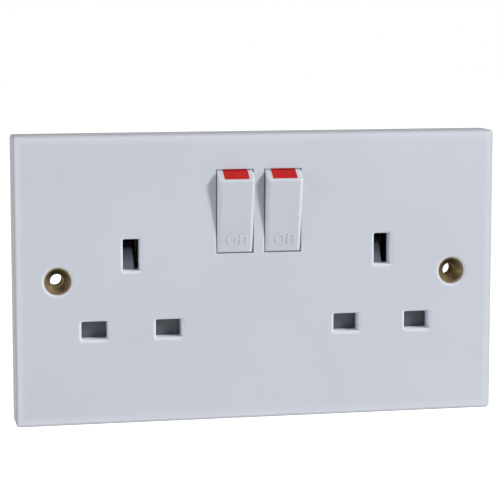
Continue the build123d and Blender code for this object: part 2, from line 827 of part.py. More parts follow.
# Live bar: terminal pad, lane and the knife-edge brackets of both switches
with BuildPart() as live_bar:
    with BuildSketch(across(floor)):
        with BuildLine() as feed:
            FilletPolyline(
                (0, rocker_z),
                (0, terminal_top - feed_lane_width / 2),
                (terminal_x, terminal_top - feed_lane_width / 2),
                radius=feed_lane_width / 2 + lane_bend_radius,
            )
        trace(feed.line, line_width=feed_lane_width)
        with Locations((terminal_x, terminal_z)):
            Rectangle(terminal_width, terminal_height)
        with Locations((0, rocker_z)):
            Rectangle(fulcrum_pad_width, fulcrum_pad_height)
        with Locations((terminal_x, terminal_z)):
            Circle(terminal_screw_radius + head_clearance, mode=Mode.SUBTRACT)
    extrude(amount=strip)
    for x in rocker_places.values():
        with BuildSketch(Plane.YZ.offset(x)):
            with BuildLine():
                nose_y = knife_y + knife_gap + knife_radius
                Polyline(
                    (nose_y, rocker_z + knife_radius),
                    (strip_front, rocker_z + knife_radius),
                    (strip_front, rocker_z - knife_radius),
                    (nose_y, rocker_z - knife_radius),
                )
                ThreePointArc(
                    (nose_y, rocker_z - knife_radius),
                    (nose_y - knife_radius, rocker_z),
                    (nose_y, rocker_z + knife_radius),
                )
            make_face()
        ear_x = rocking_width / 2 + ear_gap
        extrude(amount=ear_x, both=True)
        with BuildSketch(across(strip_front)):
            with Locations(
                (x - ear_x - ear_wall / 2, rocker_z),
                (x + ear_x + ear_wall / 2, rocker_z),
            ):
                Rectangle(ear_wall, ear_height)
        extrude(amount=strip_front - knife_y + ear_overlap)
live_bar.part.label = "live_bar"
export_step(live_bar.part, "parts/live_bar.step")

# Neutral bar: one pressing from the terminal round to both neutral contacts
riser_x = notch_inner_x - housing_wall - lane_wall_gap - neutral_lane_width / 2
with BuildPart() as neutral_bar:
    with BuildSketch(across(floor)):
        with BuildLine() as route:
            FilletPolyline(
                (-terminal_x, terminal_z),
                (-riser_x, terminal_z),
                (-riser_x, neutral_lane_z),
                (clip_places["neutral_right"], neutral_lane_z),
                (clip_places["neutral_right"], pin_z + flat_pin_height / 2),
                radius=neutral_lane_width / 2 + lane_bend_radius,
            )
        trace(route.line, line_width=neutral_lane_width)
        with Locations((-terminal_x, terminal_z)):
            Rectangle(terminal_width, terminal_height)
            Circle(terminal_screw_radius + head_clearance, mode=Mode.SUBTRACT)
    extrude(amount=strip)
neutral_bar.part.label = "neutral_bar"
export_step(neutral_bar.part, "parts/neutral_bar.step")

# Earth bar with the riser to its terminal
with BuildPart() as earth_bar:
    riser_height = terminal_top - earth_bar_top + earth_bar_height / 2
    with BuildSketch(across(earth_bar_y + strip)):
        with Locations((0, earth_bar_top - earth_bar_height / 2)):
            RectangleRounded(2 * earth_bar_half_length, earth_bar_height, earth_bar_corner_radius)
        with Locations((earth_riser_x, terminal_top - riser_height / 2)):
            Rectangle(earth_riser_width, riser_height)
    extrude(amount=strip)
earth_bar.part.label = "earth_bar"
export_step(earth_bar.part, "parts/earth_bar.step")

# Earth contacts: two bowed leaves on a bridge, riveted behind the bar
for side, x in gang_places.items():
    bar_back = earth_bar_y + strip
    leaf_end = front + earth_pin_reach - leaf_end_gap
    half_gap = earth_pin_width / 2 + clip_thickness / 2
    with BuildPart() as earth_contact:
        with BuildSketch(Plane.XY.offset(earth_bar_top - strip)):
            for sign in (-1, 1):
                with BuildLine() as leaf:
                    FilletPolyline(
                        (x + sign * (half_gap + clip_mouth), bar_back + leaf_start_gap),
                        (x + sign * (half_gap - clip_pinch / 2), bar_back + leaf_throat_depth),
                        (x + sign * (half_gap + clip_bow), leaf_end),
                        radius=leaf_bow_radius,
                    )
                trace(leaf.line, line_width=clip_thickness)
        extrude(amount=earth_pin_height + leaf_overhang)
        with BuildSketch(Plane.XY.offset(earth_bar_top)):
            with Locations((x, (bar_back + leaf_end) / 2)):
                Rectangle(2 * (half_gap + clip_bow) + clip_thickness, leaf_end - bar_back)
        extrude(amount=-strip)
        with BuildSketch(across(bar_back)):
            with Locations((x, earth_bar_top - earth_bar_height / 2)):
                Rectangle(2 * (half_gap + clip_bow) + clip_thickness, earth_bar_height)
        extrude(amount=-strip)
    earth_contact.part.label = f"earth_contact_{side}"
    export_step(earth_contact.part, f"parts/earth_contact_{side}.step")

# Earth straps from the ends of the bar to the eyelets
for side, x in fixing_places.items():
    sign = 1 if side == "right" else -1
    ring_y = -eyelet_flare_thickness - strip / 2
    inner_y = earth_bar_y - strip / 2
    step_x = abs(x) - strap_step_inset
    with BuildPart() as earth_strap:
        with BuildSketch(Plane.XY.offset(-strap_half_height)):
            with BuildLine() as bend:
                FilletPolyline(
                    (sign * (earth_bar_half_length - strap_overlap), inner_y),
                    (sign * (step_x - strap_step_run), inner_y),
                    (sign * step_x, ring_y),
                    (x, ring_y),
                    radius=strap_bend_radius,
                )
            trace(bend.line, line_width=strip)
        extrude(amount=2 * strap_half_height)
        with BuildSketch(across(ring_y + strip / 2)):
            with Locations((x, 0)):
                Circle(strap_ring_radius)
        extrude(amount=strip)
        with BuildSketch(across(ring_y + strip / 2)):
            with Locations((x, 0)):
                Circle(eyelet_barrel_radius + eyelet_clearance)
        extrude(amount=strip, mode=Mode.SUBTRACT)
    earth_strap.part.label = f"earth_strap_{side}"
    export_step(earth_strap.part, f"parts/earth_strap_{side}.step")

# Terminal blocks with a wire bore from above and a screw bore from the back
for name, x in terminal_places.items():
    with BuildPart() as terminal:
        with BuildSketch(across(strip_front)):
            with Locations((x, terminal_z)):
                Rectangle(terminal_width, terminal_height)
        extrude(amount=strip_front - terminal_front)
        chamfer(terminal.edges().filter_by(Axis.Y), terminal_chamfer)
        with BuildSketch(Plane.XY.offset(terminal_top)):
            with Locations((x, wire_bore_y)):
                Circle(wire_bore_radius)
        extrude(amount=-terminal_height, mode=Mode.SUBTRACT)
        with BuildSketch(across(strip_front)):
            with Locations((x, terminal_z)):
                Circle(terminal_screw_radius + terminal_screw_clearance)
        extrude(amount=strip_front - wire_bore_y, mode=Mode.SUBTRACT)
    terminal.part.label = f"{name}_terminal"
    export_step(terminal.part, f"parts/{name}_terminal.step")

# Terminal screws, backed off clear of the wire bores
with BuildPart() as terminal_screws:
    with BuildSketch(across(housing_back)):
        with Locations(*[(x, terminal_z) for x in terminal_places.values()]):
            Circle(terminal_head_radius)
    extrude(amount=terminal_head_thickness)
    with BuildSketch(across(housing_back)):
        with Locations(*[(x, terminal_z) for x in terminal_places.values()]):
            Circle(terminal_screw_radius)
    extrude(amount=housing_back - screw_tip_y)
    with BuildSketch(across(housing_back)):
        with Locations(*[(x, terminal_z) for x in terminal_places.values()]):
            Rectangle(2 * terminal_head_radius, slot_width)
    extrude(amount=slot_depth, mode=Mode.SUBTRACT)
terminal_screws.part.label = "terminal_screws"
export_step(terminal_screws.part, "parts/terminal_screws.step")

# Screws from the back of the housing into the posts of the plate
head_back = housing_back - housing_head_sink
with BuildPart() as housing_screws:
    with BuildSketch(across(head_back)):
        with Locations(*post_places):
            Circle(housing_head_radius)
    extrude(amount=housing_head_thickness)
    with BuildSketch(across(head_back)):
        with Locations(*post_places):
            Circle(housing_screw_radius)
    extrude(amount=housing_head_thickness + housing_screw_length)
    with BuildSketch(across(head_back)):
        for rotation in (0, 90):
            with Locations(*post_places):
                Rectangle(cross_slot_length, slot_width, rotation=rotation)
    extrude(amount=slot_depth, mode=Mode.SUBTRACT)
housing_screws.part.label = "housing_screws"
export_step(housing_screws.part, "parts/housing_screws.step")

# Shutters: closed, their solid band lies behind the flat apertures
for side, x in gang_places.items():
    with BuildPart() as shutter:
        with BuildSketch(across(shutter_back)):
            with Locations((x, (shutter_top + shutter_bottom) / 2)):
                Rectangle(2 * shutter_half_width, shutter_top - shutter_bottom)
            with Locations((x, shutter_top + shutter_stem_height / 2)):
                Rectangle(shutter_stem_width, shutter_stem_height)
            with Locations((x - pin_offset, window_z), (x + pin_offset, window_z)):
                Rectangle(
                    flat_pin_width + 2 * shutter_web,
                    window_height,
                    mode=Mode.SUBTRACT,
                )
            notch_height = shutter_notch_top - shutter_bottom
            with Locations((x, shutter_notch_top - notch_height / 2)):
                Rectangle(shutter_notch_width, notch_height, mode=Mode.SUBTRACT)
        extrude(amount=shutter_thickness)

        # Ramp in the path of the earth pin
        with BuildSketch(Plane.YZ.offset(x)):
            with BuildLine():
                Polyline(
                    (shutter_front, ramp_foot_z),
                    (ramp_top_y, ramp_top_z),
                    (ramp_back_y, ramp_top_z),
                    (ramp_back_y, ramp_foot_z + ramp_back_foot),
                    (shutter_back, shutter_top),
                    (shutter_front, shutter_top),
                    close=True,
                )
            make_face()
        extrude(amount=ramp_width / 2, both=True)
    shutter.part.label = f"shutter_{side}"
    export_step(shutter.part, f"parts/shutter_{side}.step")

    # Return spring below the shutter
    coil_bottom = shutter_spring_seat_z + shutter_spring_wire / 2 + spring_end_gap
    coil_height = shutter_notch_top - shutter_spring_wire / 2 - spring_end_gap - coil_bottom
    with BuildPart() as shutter_spring:
        with BuildLine() as coil:
            Helix(
                pitch=coil_height / shutter_spring_turns,
                height=coil_height,
                radius=shutter_spring_radius,
                center=(x, spring_y, coil_bottom),
            )
        with BuildSketch(Plane(origin=coil.line @ 0, z_dir=coil.line % 0)):
            Rectangle(shutter_spring_wire, shutter_spring_wire)
        sweep(is_frenet=True)
    shutter_spring.part.label = f"shutter_spring_{side}"
    export_step(shutter_spring.part, f"parts/shutter_spring_{side}.step")
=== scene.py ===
"""Looks of a twin switched socket outlet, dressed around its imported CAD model."""

import json
import math

import bpy
from mathutils import Matrix, Vector

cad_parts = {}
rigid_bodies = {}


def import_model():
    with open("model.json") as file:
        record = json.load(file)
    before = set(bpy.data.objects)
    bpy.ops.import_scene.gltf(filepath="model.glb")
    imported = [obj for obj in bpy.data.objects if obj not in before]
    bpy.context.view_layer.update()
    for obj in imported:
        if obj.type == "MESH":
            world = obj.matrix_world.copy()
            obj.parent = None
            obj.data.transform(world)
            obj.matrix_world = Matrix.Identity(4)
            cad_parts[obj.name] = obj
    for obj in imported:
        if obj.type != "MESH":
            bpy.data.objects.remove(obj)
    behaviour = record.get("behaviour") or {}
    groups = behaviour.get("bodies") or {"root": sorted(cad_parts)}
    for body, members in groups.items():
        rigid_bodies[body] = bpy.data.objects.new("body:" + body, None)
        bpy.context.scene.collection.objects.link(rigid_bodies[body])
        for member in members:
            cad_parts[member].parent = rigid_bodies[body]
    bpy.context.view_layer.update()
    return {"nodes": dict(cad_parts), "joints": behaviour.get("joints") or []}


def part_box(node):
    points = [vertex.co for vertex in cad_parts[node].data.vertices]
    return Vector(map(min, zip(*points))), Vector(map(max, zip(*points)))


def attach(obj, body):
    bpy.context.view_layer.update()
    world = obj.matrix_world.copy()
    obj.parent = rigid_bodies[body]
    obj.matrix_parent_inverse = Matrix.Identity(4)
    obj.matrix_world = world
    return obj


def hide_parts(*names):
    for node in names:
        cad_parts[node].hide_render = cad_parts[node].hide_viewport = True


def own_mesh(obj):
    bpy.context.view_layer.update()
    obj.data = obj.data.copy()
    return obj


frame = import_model()

bl_info = {
    "name": "Twin switched socket looks",
    "version": (1, 0, 0),
    "blender": (4, 5, 0),
    "location": "3D View > Sidebar > Socket",
    "description": "Dresses the packed socket outlet with its finishes, words and studio stage",
    "category": "Object",
}

MM = 0.001
SIDES = ("left", "right")
JOINTS = {joint["name"]: joint for joint in frame["joints"]}

# Sockets of a Mix node that mixes colours
MIX_FACTOR, MIX_FIRST, MIX_SECOND, MIX_RESULT = 0, 6, 7, 2

# Relief of the finishes: depth, and strength of the bump
TOOL_GRAIN = 0.01 * MM
FINE_GRAIN = 0.008 * MM
COARSE_GRAIN = 0.03 * MM
GRAIN_STRENGTH = 0.35
STREAK_DEPTH = 0.012 * MM
STREAK_STRENGTH = 0.3

# The gloss of a plastic wanders finer than its colour, and full tarnish roughens a metal
WIPE_FINENESS = 4.0
TARNISH_ROUGHNESS = 0.3

# Streaks per metre along a worked metal and across it
LONG = 300.0
FINE = 4000.0

# Shades of the bands against a finish's own colour; all but the word's paint light and shade onto
# the finish
# Painted light on the plate's aperture walls and the rounding into them
PAINTED_MOUTH_LIGHT = 1.42
# Painted highlight in a band just inside the plate's front edges
PAINTED_BORDER_HIGHLIGHT = 1.06
# Painted shade on the plate's outer edge faces: top, bottom and ends
PAINTED_SIDE_SHADE = 0.76
# Painted light on the rockers' rounded edges and end caps
PAINTED_ROCKER_EDGE_LIGHT = 1.1
WORD_SHADE = 1.04
# Painted highlight along the shutters' edges
PAINTED_SHUTTER_EDGE_HIGHLIGHT = 1.5
# Painted highlight along the housing's edges
PAINTED_HOUSING_EDGE_HIGHLIGHT = 2.2
# Painted shade on the eyelets' countersink walls, all but the lit one
PAINTED_EYELET_WALL_SHADE = 0.22

# Painted light and shade up a shutter's ramp: where each band starts, where it is full, and its
# shade. The ramp is painted much lighter as if lit from above, less so higher up, and painted dark
# with shade at its top
PAINTED_RAMP_LIGHT_AND_SHADE = (
    (-4.0 * MM, 1.0 * MM, 7.6),
    (3.5 * MM, 8.5 * MM, 2.3),
    (7.7 * MM, 8.6 * MM, 0.25),
)

# The lettering before it is scaled, in letter heights
LETTER_THICKNESS = 0.05
LETTER_ROUNDING = 0.012

# The stage
KEY_PLACE, KEY_SIZE = (1.55, -1.65, 1.05), 0.55
FILL_PLACE, FILL_SIZE = (-1.35, -0.45, 0.1), 1.0
CAMERA_TARGET = Vector((-0.74, 0.0, 6.76)) * MM
SENSOR_WIDTH = 36.0
NEAR_CLIP, FAR_CLIP = 0.01, 60.0
FLOOR_REACH = 9.0
FLOOR_TONES = (0.86, 0.9)
FLOOR_GLOW = 0.92
SOFT_WHITE = (1.0, 0.985, 0.985, 1.0)
WHITE = (1.0, 1.0, 1.0, 1.0)


# Node helpers


def sockets(group, direction, entries):
    """Gives a node group its named sockets: (name, kind, default) each."""
    for name, kind, default in entries:
        made = group.interface.new_socket(name=name, in_out=direction, socket_type=kind)
        if default is not None:
            made.default_value = default


def feed(tree, socket, value):
    """Links a socket to the one it is given, or sets its value."""
    if isinstance(value, bpy.types.NodeSocket):
        tree.links.new(value, socket)
    else:
        socket.default_value = value


def add(tree, kind, inputs=None, **settings):
    """A new node with its settings, and with its inputs given as values or as sockets to link."""
    node = tree.nodes.new(kind)
    for name, value in settings.items():
        setattr(node, name, value)
    for name, value in (inputs or {}).items():
        feed(tree, node.inputs[name], value)
    return node


def noise(tree, vector, scale, detail=2.0, roughness=0.5):
    """A noise pattern's factor."""
    made = add(
        tree,
        "ShaderNodeTexNoise",
        {"Vector": vector, "Scale": scale, "Detail": detail, "Roughness": roughness},
    )
    return made.outputs["Fac"]


def math_node(tree, operation, first, second):
    """Two numbers or sockets put together."""
    made = add(tree, "ShaderNodeMath", {0: first, 1: second}, operation=operation)
    return made.outputs[0]


def clamped(tree, value):
    """A value kept between none and one."""
    return add(tree, "ShaderNodeClamp", {"Value": value}).outputs[0]


def spread(tree, value, low, high, to_low=0.0, to_high=1.0):
    """A value moved from one range to another, and kept inside it."""
    made = add(
        tree,
        "ShaderNodeMapRange",
        {"Value": value, "From Min": low, "From Max": high, "To Min": to_low, "To Max": to_high},
    )
    return made.outputs["Result"]


def blend_colours(tree, factor, first, second):
    """Two colours mixed by a factor."""
    made = add(
        tree,
        "ShaderNodeMix",
        {MIX_FACTOR: factor, MIX_FIRST: first, MIX_SECOND: second},
        data_type="RGBA",
    )
    return made.outputs[MIX_RESULT]


def parting(tree, first, second, reach):
    """None where two directions agree, growing to one as they part."""
    alike = add(
        tree, "ShaderNodeVectorMath", {0: first, 1: second}, operation="DOT_PRODUCT"
    ).outputs["Value"]
    bend = math_node(tree, "SUBTRACT", 1.0, alike)
    return clamped(tree, math_node(tree, "MULTIPLY", bend, reach))


def own_place(tree):
    """Each point's place in the part's own frame."""
    return tree.nodes.new("ShaderNodeTexCoord").outputs["Object"]


def new_group(name, inputs, outputs):
    """An empty node group with its input and output nodes."""
    group = bpy.data.node_groups.new(name, "ShaderNodeTree")
    sockets(group, "INPUT", inputs)
    sockets(group, "OUTPUT", outputs)
    return group, group.nodes.new("NodeGroupInput"), group.nodes.new("NodeGroupOutput")


def fill_outputs(group, output, made):
    """Links what a group made to its named outputs."""
    for name, socket in made.items():
        group.links.new(socket, output.inputs[name])


# Effects that several finishes share

SKIN_OUTPUTS = [
    ("Colour", "NodeSocketColor", None),
    ("Roughness", "NodeSocketFloat", None),
    ("Height", "NodeSocketFloat", None),
]
MASK_OUTPUT = [("Mask", "NodeSocketFloat", None)]


def moulded_skin_group():
    """Moulded plastic: slow drift of colour and gloss, and the fine grain of the tool's surface."""
    group, given, output = new_group(
        "moulded_skin",
        [
            ("Colour", "NodeSocketColor", (0.8, 0.8, 0.8, 1)),
            ("Drift Colour", "NodeSocketColor", (0.7, 0.7, 0.7, 1)),
            ("Drift Scale", "NodeSocketFloat", 30.0),
            ("Gloss", "NodeSocketFloat", 0.35),
            ("Gloss Drift", "NodeSocketFloat", 0.06),
            ("Grain Scale", "NodeSocketFloat", 2500.0),
        ],
        SKIN_OUTPUTS,
    )
    place = own_place(group)
    drift_scale = given.outputs["Drift Scale"]
    drift = spread(group, noise(group, place, drift_scale, detail=3.0), low=0.35, high=0.65)
    colour = blend_colours(group, drift, given.outputs["Colour"], given.outputs["Drift Colour"])
    wipe_scale = math_node(group, "MULTIPLY", drift_scale, WIPE_FINENESS)
    wipe = noise(group, place, wipe_scale, detail=4.0)
    swing = math_node(group, "SUBTRACT", wipe, 0.5)
    swing = math_node(group, "MULTIPLY", swing, given.outputs["Gloss Drift"])
    roughness = math_node(group, "ADD", given.outputs["Gloss"], swing)
    grain = noise(group, place, given.outputs["Grain Scale"], detail=3.0, roughness=0.6)
    fill_outputs(group, output, {"Colour": colour, "Roughness": roughness, "Height": grain})
    return group


def worked_metal_group():
    """Rolled or turned metal: drawn streaks, patches of tarnish and the gloss of both, with a
    painted shade towards its far end.
    """
    group, given, output = new_group(
        "worked_metal",
        [
            ("Colour", "NodeSocketColor", (0.8, 0.6, 0.3, 1)),
            ("Tarnish Colour", "NodeSocketColor", (0.3, 0.2, 0.1, 1)),
            ("Tarnish", "NodeSocketFloat", 0.5),
            ("Tarnish Scale", "NodeSocketFloat", 260.0),
            ("Streaks", "NodeSocketVector", (LONG, LONG, FINE)),
            ("Gloss", "NodeSocketFloat", 0.3),
            ("Far Shade", "NodeSocketFloat", 0.0),
            ("Depth Start", "NodeSocketFloat", -0.005),
            ("Depth End", "NodeSocketFloat", -0.003),
        ],
        SKIN_OUTPUTS,
    )
    place = own_place(group)
    drawn = add(
        group, "ShaderNodeVectorMath", {0: place, 1: given.outputs["Streaks"]}, operation="MULTIPLY"
    ).outputs[0]
    streak = noise(group, drawn, scale=1.0, detail=3.0, roughness=0.6)
    patch = noise(group, place, given.outputs["Tarnish Scale"], detail=5.0, roughness=0.6)
    patch = spread(group, patch, low=0.38, high=0.66)
    cover = math_node(group, "MULTIPLY", patch, given.outputs["Tarnish"])
    # Painted shade: the colour darkens towards the far end along the part's own Y, where a bore
    # lies in shade
    depth = add(group, "ShaderNodeSeparateXYZ", {"Vector": place}).outputs["Y"]
    far_shade = spread(group, depth, given.outputs["Depth Start"], given.outputs["Depth End"])
    far_shade = math_node(group, "MULTIPLY", far_shade, given.outputs["Far Shade"])
    cover = math_node(group, "MAXIMUM", cover, far_shade)
    colour = blend_colours(group, cover, given.outputs["Colour"], given.outputs["Tarnish Colour"])
    worn = math_node(group, "MULTIPLY", cover, TARNISH_ROUGHNESS)
    scratch = spread(group, streak, low=0.3, high=0.7, to_low=-0.06, to_high=0.08)
    worn = math_node(group, "ADD", worn, scratch)
    roughness = math_node(group, "ADD", given.outputs["Gloss"], worn)
    fill_outputs(group, output, {"Colour": colour, "Roughness": roughness, "Height": streak})
    return group


def edge_band_group():
    """A mask of the outer edges, where a moulding is rounded, for a painted highlight along them.
    """
    group, given, output = new_group(
        "edge_band",
        [("Width", "NodeSocketFloat", 0.8 * MM), ("Reach", "NodeSocketFloat", 4.0)],
        MASK_OUTPUT,
    )
    rounded = add(group, "ShaderNodeBevel", {"Radius": given.outputs["Width"]}, samples=4)
    flat = group.nodes.new("ShaderNodeNewGeometry").outputs["Normal"]
    mask = parting(group, rounded.outputs[0], flat, given.outputs["Reach"])
    fill_outputs(group, output, {"Mask": mask})
    return group


def turned_away_group():
    """A mask of the surfaces that turn away from one direction of the part's own frame."""
    group, given, output = new_group(
        "turned_away",
        [("Facing", "NodeSocketVector", (0.0, -1.0, 0.0)), ("Reach", "NodeSocketFloat", 3.0)],
        MASK_OUTPUT,
    )
    own = group.nodes.new("ShaderNodeTexCoord").outputs["Normal"]
    mask = parting(group, own, given.outputs["Facing"], given.outputs["Reach"])
    fill_outputs(group, output, {"Mask": mask})
    return group


def height_band_group():
    """A mask that grows from one height of a part to another, along its own vertical."""
    group, given, output = new_group(
        "height_band",
        [("Low", "NodeSocketFloat", -4.0 * MM), ("High", "NodeSocketFloat", 1.0 * MM)],
        MASK_OUTPUT,
    )
    height = add(group, "ShaderNodeSeparateXYZ", {"Vector": own_place(group)}).outputs["Z"]
    mask = spread(group, height, given.outputs["Low"], given.outputs["High"])
    fill_outputs(group, output, {"Mask": mask})
    return group


def rim_group():
    """A mask that grows towards the outline of a rectangular part, as seen from its front."""
    group, given, output = new_group(
        "rim",
        [
            ("Half Width", "NodeSocketFloat", 73.0 * MM),
            ("Half Height", "NodeSocketFloat", 43.0 * MM),
            ("Start", "NodeSocketFloat", 3.0 * MM),
            ("End", "NodeSocketFloat", 1.0 * MM),
        ],
        MASK_OUTPUT,
    )
    parts = add(group, "ShaderNodeSeparateXYZ", {"Vector": own_place(group)}).outputs
    across = math_node(group, "ABSOLUTE", parts["X"], 0.0)
    up = math_node(group, "ABSOLUTE", parts["Z"], 0.0)
    inset = math_node(
        group,
        "MINIMUM",
        math_node(group, "SUBTRACT", given.outputs["Half Width"], across),
        math_node(group, "SUBTRACT", given.outputs["Half Height"], up),
    )
    mask = spread(group, inset, given.outputs["Start"], given.outputs["End"])
    fill_outputs(group, output, {"Mask": mask})
    return group


EFFECTS = {
    "moulded_skin": moulded_skin_group,
    "worked_metal": worked_metal_group,
    "edge_band": edge_band_group,
    "turned_away": turned_away_group,
    "height_band": height_band_group,
    "rim": rim_group,
}


def effect(tree, name, inputs):
    """One of the shared effects, built the first time that it is placed."""
    group = bpy.data.node_groups.get(name) or EFFECTS[name]()
    return add(tree, "ShaderNodeGroup", inputs, node_tree=group)


# Finishes


def shade(colour, factor):
    """A colour made darker or lighter by a factor."""
    return tuple(min(1.0, part * factor) for part in colour[:3]) + (1.0,)


def blank_material(name, settings):
    """A material with its shader, and the shader's uniform values set on its own sockets."""
    material = bpy.data.materials.new(name)
    material.use_nodes = True
    tree = material.node_tree
    shader = tree.nodes["Principled BSDF"]
    for socket, value in settings.items():
        shader.inputs[socket].default_value = value
    return material, tree, shader


def lay_skin(tree, shader, skin, bands, depth, strength):
    """Feeds a shader from its skin: the colour with its bands, the roughness and the relief.

    Each band is an effect's name, its inputs and the colour that it brings in.
    """
    base = skin.outputs["Colour"]
    for kind, inputs, tint in bands:
        mask = effect(tree, kind, inputs).outputs["Mask"]
        base = blend_colours(tree, mask, base, tint)
    relief = add(
        tree,
        "ShaderNodeBump",
        {"Height": skin.outputs["Height"], "Distance": depth, "Strength": strength},
    )
    tree.links.new(base, shader.inputs["Base Color"])
    tree.links.new(skin.outputs["Roughness"], shader.inputs["Roughness"])
    tree.links.new(relief.outputs["Normal"], shader.inputs["Normal"])


def plastic(name, colour, drift, gloss, grain=2500.0, depth=TOOL_GRAIN, bands=(), **settings):
    """A moulded plastic: drift is how far its colour wanders, bands the masks that tint it."""
    material, tree, shader = blank_material(name, settings)
    skin = effect(
        tree,
        "moulded_skin",
        {
            "Colour": colour,
            "Drift Colour": shade(colour, drift),
            "Gloss": gloss,
            "Grain Scale": grain,
        },
    )
    lay_skin(tree, shader, skin, bands, depth, GRAIN_STRENGTH)
    return material


def metal(
    name,
    colour,
    tarnish_colour,
    tarnish,
    gloss,
    streaks=(LONG, LONG, FINE),
    far_shade=0.0,
    bands=(),
    **settings,
):
    """A worked metal with tarnish and drawn streaks; far_shade is a painted shade towards its far
    end.
    """
    material, tree, shader = blank_material(name, {"Metallic": 1.0, **settings})
    skin = effect(
        tree,
        "worked_metal",
        {
            "Colour": colour,
            "Tarnish Colour": tarnish_colour,
            "Tarnish": tarnish,
            "Streaks": streaks,
            "Gloss": gloss,
            "Far Shade": far_shade,
        },
    )
    lay_skin(tree, shader, skin, bands, STREAK_DEPTH, STREAK_STRENGTH)
    return material


def white_plastic(name, colour, gloss, glow_depth, bands=()):
    """A pale satin moulding that light enters to a small depth, so that its inner walls glow."""
    return plastic(
        name,
        colour,
        drift=0.97,
        gloss=gloss,
        depth=FINE_GRAIN,
        bands=bands,
        **{
            "Specular IOR Level": 0.25,
            "Subsurface Weight": 1.0,
            "Subsurface Radius": (1.0, 1.0, 1.0),
            "Subsurface Scale": glow_depth,
        },
    )


def dress(material, *names):
    """Gives CAD nodes a material in their own slots."""
    for name in names:
        frame["nodes"][name].material_slots[0].material = material


def colour_of(value):
    """A colour setting with its alpha, as a shader takes it."""
    return (value[0], value[1], value[2], 1.0)


def each_side(*names):
    """The left and right node of each name."""
    return [f"{name}_{side}" for name in names for side in SIDES]


def rocker_axes(side):
    """Up along a rocker's face at rest, and out from it."""
    tilt = math.radians(JOINTS[f"rocker_{side}_swing"]["range_deg"][1]) / 2
    up = Vector((0, -math.sin(tilt), math.cos(tilt)))
    out = Vector((0, -math.cos(tilt), -math.sin(tilt)))
    return up, out


# What a user would change


def colour_setting(name, description, default):
    """A colour that a user can set."""
    return bpy.props.FloatVectorProperty(
        name=name,
        description=description,
        default=default,
        subtype="COLOR",
        size=3,
        min=0.0,
        max=1.0,
    )


def length_setting(name, description, default):
    """A length that a user can set, in metres."""
    return bpy.props.FloatProperty(
        name=name,
        description=description,
        default=default,
        subtype="DISTANCE",
        unit="LENGTH",
        precision=5,
    )


def number_setting(name, description, default):
    """A plain number that a user can set."""
    return bpy.props.FloatProperty(name=name, description=description, default=default)


def angle_setting(name, description, degrees):
    """An angle that a user can set."""
    return bpy.props.FloatProperty(
        name=name, description=description, default=math.radians(degrees), subtype="ANGLE"
    )


class SocketPlastics(bpy.types.PropertyGroup):
    """Colours of the mouldings."""

    plate: colour_setting("Plate", "Colour of the front plate", (0.557, 0.581, 0.635))
    rocker: colour_setting("Rockers", "Colour of the switch rockers", (0.552, 0.57, 0.615))
    flag: colour_setting("Flags", "Colour of the slips that show when on", (0.50, 0.006, 0.006))
    shutter: colour_setting("Shutters", "Colour of the shutters", (0.074, 0.077, 0.093))
    housing: colour_setting("Housing", "Colour of the rear housing", (0.022, 0.023, 0.026))
    plunger: colour_setting("Plungers", "Colour of the switch plungers", (0.72, 0.68, 0.56))


class SocketMetals(bpy.types.PropertyGroup):
    """Colours of the metals."""

    eyelet: colour_setting("Eyelets", "Colour of the brass eyelets", (0.38, 0.29, 0.15))
    brass: colour_setting("Brass", "Colour of the contacts and terminals", (0.72, 0.52, 0.24))
    copper: colour_setting("Copper", "Colour of the copper bars", (0.46, 0.25, 0.16))
    silver: colour_setting("Silver", "Colour of the contact tips", (0.82, 0.81, 0.78))
    steel: colour_setting("Steel", "Colour of springs, screws and straps", (0.58, 0.58, 0.57))


class SocketWord(bpy.types.PropertyGroup):
    """The low-relief word at the lower end of each rocker."""

    text: bpy.props.StringProperty(name="Word", description="Word on each rocker", default="on")
    width: length_setting("Width", "Width of the word", 6.4 * MM)
    height: length_setting("Height", "Height of the word", 3.3 * MM)
    drop: length_setting("Drop", "From the rocker's middle down to the word's middle", 7.1 * MM)
    shift: length_setting("Shift", "Sideways from the rocker's middle", 0.5 * MM)
    relief: length_setting("Relief", "How far the letters stand out", 0.16 * MM)
    face_height: length_setting("Face height", "From the rocker's pivot out to its face", 7.7 * MM)
    thinning: number_setting(
        "Thinning", "How much thinner the strokes are, in letter heights", 0.005
    )


class SocketStage(bpy.types.PropertyGroup):
    """Camera, lamps and floor."""

    distance: length_setting("Distance", "From the camera to its target", 0.5946)
    yaw: angle_setting("Yaw", "Camera's turn to the left", 12.01)
    pitch: angle_setting("Pitch", "Camera's height as an angle", 7.15)
    lens: number_setting("Lens", "Focal length in millimetres", 141.0)
    key: number_setting("Key light", "Strength of the key lamp", 53.0)
    fill: number_setting("Fill light", "Strength of the fill lamp", 8.0)
    ambient: number_setting("Ambient", "Level of the light all round", 0.24)
    floor_drop: length_setting("Floor", "From the middle of the plate down to the floor", 0.32)


# Operators


